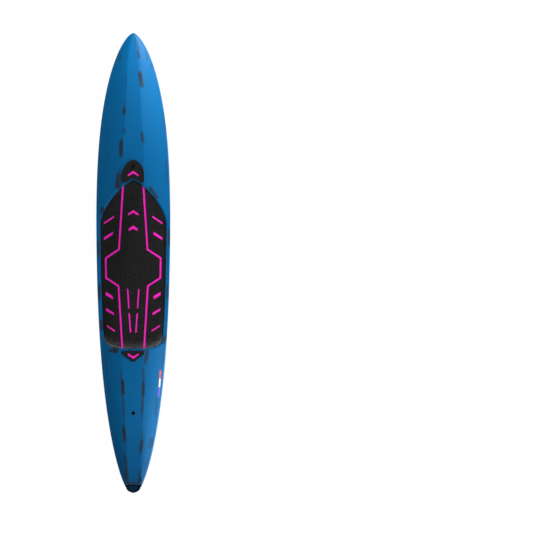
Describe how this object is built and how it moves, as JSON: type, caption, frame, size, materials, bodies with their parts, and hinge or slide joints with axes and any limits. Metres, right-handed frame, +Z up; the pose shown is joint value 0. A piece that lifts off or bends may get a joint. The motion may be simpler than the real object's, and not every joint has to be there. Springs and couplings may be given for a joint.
{
  "type": "downwind foil board",
  "caption": "Long narrow foil board with a recessed foam deck pad, slotted foil tracks in the bottom, a vent plug, a leash plug and a carry handle.",
  "frame": {"origin": "middle of the board's outline, on the floor that its flat bottom rests on", "axes": "+Y towards the nose, +X to the rider's right looking at the nose, +Z up through the deck"},
  "size_m": [0.4094, 2.54, 0.1644],
  "materials": {
    "blue_lacquer": "satin",
    "white_foam": "matte",
    "carbon": "satin",
    "dense_foam": "matte",
    "black_plastic": "satin",
    "brass_nut": "satin",
    "black_rubber": "matte",
    "steel_pin": "satin",
    "pink_foam": "matte",
    "black_foam": "matte"
  },
  "bodies": {
    "hull": {"deck_skin": "blue_lacquer", "bottom_skin": "blue_lacquer", "foam_core_left": "white_foam", "foam_core_right": "white_foam", "stringer_front": "carbon", "stringer_rear": "carbon", "foil_block": "dense_foam", "standing_panel": "dense_foam", "foil_track_left": "black_plastic", "foil_track_right": "black_plastic", "vent_housing": "black_plastic", "leash_cup": "black_plastic", "leash_pin": "steel_pin", "handle_pocket": "black_plastic", "pad_base": "pink_foam", "pad_centre": "black_foam", "pad_wing_left": "black_foam", "pad_wing_right": "black_foam", "nose_tab_base": "pink_foam", "nose_tab_top": "black_foam", "tail_tab_base": "pink_foam", "tail_tab_top": "black_foam"},
    "nut_front_left": {"track_nut_front_left": "brass_nut"},
    "nut_front_right": {"track_nut_front_right": "brass_nut"},
    "nut_rear_left": {"track_nut_rear_left": "brass_nut"},
    "nut_rear_right": {"track_nut_rear_right": "brass_nut"},
    "vent_seal": {"vent_seal": "black_rubber"},
    "vent_screw": {"vent_screw": "black_plastic"}
  },
  "joints": [
    {"name": "nut_front_left_slide", "type": "slide", "parent": "hull", "child": "nut_front_left", "axis": [0, 1, 0], "range_m": [-0.0595, 0.0965]},
    {"name": "nut_front_right_slide", "type": "slide", "parent": "hull", "child": "nut_front_right", "axis": [0, 1, 0], "range_m": [-0.0595, 0.0965]},
    {"name": "nut_rear_left_slide", "type": "slide", "parent": "hull", "child": "nut_rear_left", "axis": [0, 1, 0], "range_m": [-0.0965, 0.0595]},
    {"name": "nut_rear_right_slide", "type": "slide", "parent": "hull", "child": "nut_rear_right", "axis": [0, 1, 0], "range_m": [-0.0965, 0.0595]},
    {"name": "vent_lift", "type": "slide", "parent": "hull", "child": "vent_seal", "axis": [0, 0, 1], "range_m": [0, 0.0045]},
    {"name": "vent_turn", "type": "hinge", "parent": "vent_seal", "child": "vent_screw", "pos_m": [0, 0.5327, 0.15], "axis": [0, 0, 1], "range_deg": [0, 1080]}
  ],
  "couplings": [
    {"joint": "vent_turn", "follows": "vent_lift", "rad_per_m": 4188.8}
  ]
}
